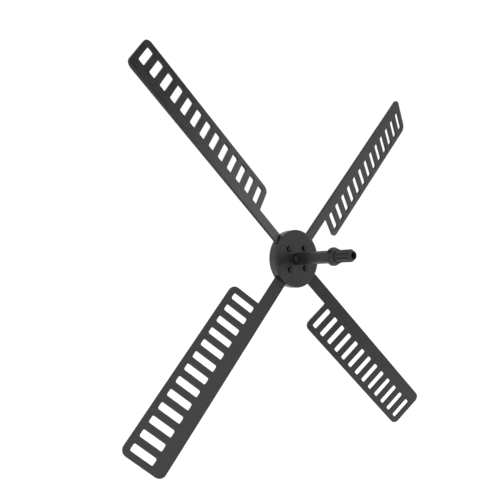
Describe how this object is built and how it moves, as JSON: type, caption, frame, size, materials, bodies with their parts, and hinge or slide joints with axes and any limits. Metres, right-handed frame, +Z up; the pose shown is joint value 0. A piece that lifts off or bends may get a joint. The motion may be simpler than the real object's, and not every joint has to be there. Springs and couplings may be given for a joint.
{
  "type": "latticed sail rotor",
  "caption": "Latticed sail rotor: slotted flat sails clamped in a round hub that spins on a hollow stub spigot with a stop collar and a splined push-in end.",
  "frame": {"origin": "on the spin axis, level with the stop collar's shoulder, where the splined end seats in its socket", "axes": "+Y along the spin axis from the splined end to the rotor; +Z up and +X to the right when the splined end faces the viewer; at rest the sails lie midway between X and Z"},
  "size_m": [0.2398, 0.0563, 0.2398],
  "materials": {
    "sail": "fine matte grain, dark neutral grey",
    "hub": "satin, turned rings, dark neutral grey",
    "spigot": "satin, dark neutral grey",
    "steel": "blackened",
    "bronze": "oil-filled bearing bronze"
  },
  "bodies": {
    "spigot": {"spigot_sleeve": "spigot", "stop_collar": "spigot", "collar_set_screw": "steel", "front_bush": "bronze", "rear_bush": "bronze"},
    "rotor": {"hub_body": "hub", "clamp_plate": "hub", "sail_1": "sail", "sail_2": "sail", "sail_3": "sail", "sail_4": "sail", "clamp_screw_1": "steel", "clamp_screw_2": "steel", "clamp_screw_3": "steel", "clamp_screw_4": "steel", "clamp_nut_1": "steel", "clamp_nut_2": "steel", "clamp_nut_3": "steel", "clamp_nut_4": "steel", "spindle_bolt": "steel", "hub_nut": "steel", "back_washer": "steel", "lock_nut": "steel", "thrust_washer": "hub"}
  },
  "joints": [
    {"name": "rotor_spin", "type": "hinge", "parent": "spigot", "child": "rotor", "pos_m": [0, 0.03695, 0], "axis": [0, -1, 0], "continuous": true}
  ]
}
